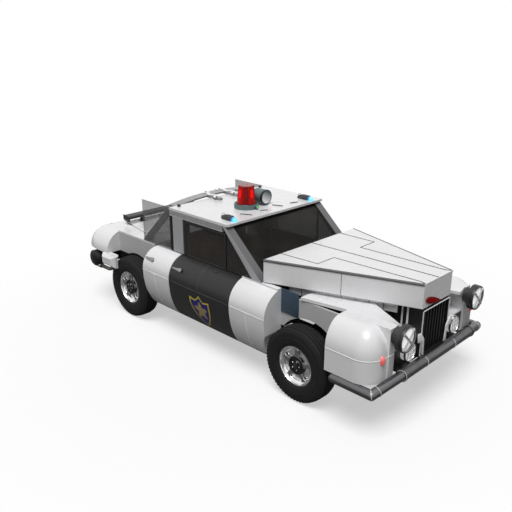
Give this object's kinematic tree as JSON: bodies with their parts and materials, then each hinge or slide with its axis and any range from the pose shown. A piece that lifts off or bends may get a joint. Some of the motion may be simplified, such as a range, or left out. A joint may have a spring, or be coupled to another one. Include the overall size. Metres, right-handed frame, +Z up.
{
  "type": "patrol car",
  "caption": "Round-sided patrol car with opening doors, hood and trunk lid, steered front wheels, roof beacon and siren.",
  "frame": {"origin": "on the ground, at the middle of the car's length and width", "axes": "+X forward, +Y to the car's left, +Z up"},
  "size_m": [4.6798, 1.97, 1.7469],
  "materials": {
    "paint_white": "gloss",
    "paint_black": "satin",
    "paint_grey": "satin",
    "chassis_black": "matt",
    "dark_chrome": "polished",
    "alloy": "polished",
    "tyre": "matt",
    "glass_dark": "polished",
    "glass_smoke": "polished",
    "lamp_clear": "polished",
    "lamp_red": "polished",
    "lamp_salmon": "polished",
    "lamp_blue": "polished",
    "teal_grey": "satin",
    "plastic_black": "matt",
    "cabin_dark": "matt",
    "seat_cloth": "woven",
    "engine_iron": "cast",
    "exhaust_steel": "brushed"
  },
  "bodies": {
    "body": {"beacon_base": "teal_grey", "beacon_dome": "lamp_red", "cabin_pillars": "paint_grey", "catwalks": "paint_white", "chassis_frame": "chassis_black", "cowl_top": "paint_black", "dashboard": "cabin_dark", "engine_block": "engine_iron", "exhaust_pipe": "exhaust_steel", "floor_pan": "chassis_black", "fog_lamps": "lamp_clear", "front_axle": "chassis_black", "front_bumper": "dark_chrome", "front_fenders": "paint_white", "front_quarter_glass": "glass_dark", "front_seats": "seat_cloth", "front_side_panels": "paint_white", "grille_bars": "plastic_black", "grille_shell": "paint_grey", "headlamp_housings": "plastic_black", "headlamp_lenses": "lamp_clear", "marker_lamps": "lamp_salmon", "rear_axle": "chassis_black", "rear_bumper": "plastic_black", "rear_bumper_caps": "paint_white", "rear_deck": "paint_white", "rear_fenders": "paint_white", "rear_seat": "seat_cloth", "rear_side_glass": "glass_smoke", "rear_view_mirror": "paint_grey", "rear_window": "glass_smoke", "roof_panel": "paint_white", "roof_pod_lenses": "lamp_blue", "roof_pods": "plastic_black", "roof_wing": "paint_grey", "siren_horn": "plastic_black", "steering_wheel": "cabin_dark", "tail_lamps": "lamp_red", "trunk_tub": "paint_grey", "wheel_walls": "paint_grey", "windscreen": "glass_dark"},
    "front_left_door": {"front_left_door": "paint_black", "front_left_window": "glass_dark"},
    "front_right_door": {"front_right_door": "paint_black", "front_right_window": "glass_dark"},
    "rear_left_door": {"rear_left_door": "paint_white"},
    "rear_right_door": {"rear_right_door": "paint_white"},
    "hood": {"hood": "paint_white"},
    "trunk_lid": {"trunk_lid": "paint_white", "rear_wing": "plastic_black"},
    "front_left_knuckle": {"front_left_knuckle": "chassis_black"},
    "front_right_knuckle": {"front_right_knuckle": "chassis_black"},
    "front_left_wheel": {"front_left_tyre": "tyre", "front_left_rim": "alloy"},
    "front_right_wheel": {"front_right_tyre": "tyre", "front_right_rim": "alloy"},
    "rear_left_wheel": {"rear_left_tyre": "tyre", "rear_left_rim": "alloy"},
    "rear_right_wheel": {"rear_right_tyre": "tyre", "rear_right_rim": "alloy"}
  },
  "joints": [
    {"name": "front_left_door_hinge", "type": "hinge", "parent": "body", "child": "front_left_door", "pos_m": [0.471, 0.935, 0.7], "axis": [0, 0, 1], "range_deg": [-65, 0]},
    {"name": "rear_left_door_hinge", "type": "hinge", "parent": "body", "child": "rear_left_door", "pos_m": [-0.505, 0.935, 0.7], "axis": [0, 0, 1], "range_deg": [-65, 0]},
    {"name": "front_left_steer", "type": "hinge", "parent": "body", "child": "front_left_knuckle", "pos_m": [1.33, 0.783, 0.375], "axis": [0, 0, 1], "range_deg": [-30, 30]},
    {"name": "front_left_wheel_spin", "type": "hinge", "parent": "front_left_knuckle", "child": "front_left_wheel", "pos_m": [1.33, 0.803, 0.375], "axis": [0, 1, 0], "continuous": true},
    {"name": "rear_left_wheel_spin", "type": "hinge", "parent": "body", "child": "rear_left_wheel", "pos_m": [-1.375, 0.803, 0.375], "axis": [0, 1, 0], "continuous": true},
    {"name": "front_right_door_hinge", "type": "hinge", "parent": "body", "child": "front_right_door", "pos_m": [0.471, -0.935, 0.7], "axis": [0, 0, 1], "range_deg": [0, 65]},
    {"name": "rear_right_door_hinge", "type": "hinge", "parent": "body", "child": "rear_right_door", "pos_m": [-0.505, -0.935, 0.7], "axis": [0, 0, 1], "range_deg": [0, 65]},
    {"name": "front_right_steer", "type": "hinge", "parent": "body", "child": "front_right_knuckle", "pos_m": [1.33, -0.783, 0.375], "axis": [0, 0, 1], "range_deg": [-30, 30]},
    {"name": "front_right_wheel_spin", "type": "hinge", "parent": "front_right_knuckle", "child": "front_right_wheel", "pos_m": [1.33, -0.803, 0.375], "axis": [0, 1, 0], "continuous": true},
    {"name": "rear_right_wheel_spin", "type": "hinge", "parent": "body", "child": "rear_right_wheel", "pos_m": [-1.375, -0.803, 0.375], "axis": [0, 1, 0], "continuous": true},
    {"name": "hood_hinge", "type": "hinge", "parent": "body", "child": "hood", "pos_m": [0.75, 0, 1.236], "axis": [0, -1, 0], "range_deg": [0, 50]},
    {"name": "trunk_lid_hinge", "type": "hinge", "parent": "body", "child": "trunk_lid", "pos_m": [-1.249, 0, 1.007], "axis": [0, 1, 0], "range_deg": [0, 60]}
  ],
  "couplings": [
    {"joint": "front_left_steer", "follows": "front_right_steer", "ratio": 1}
  ]
}
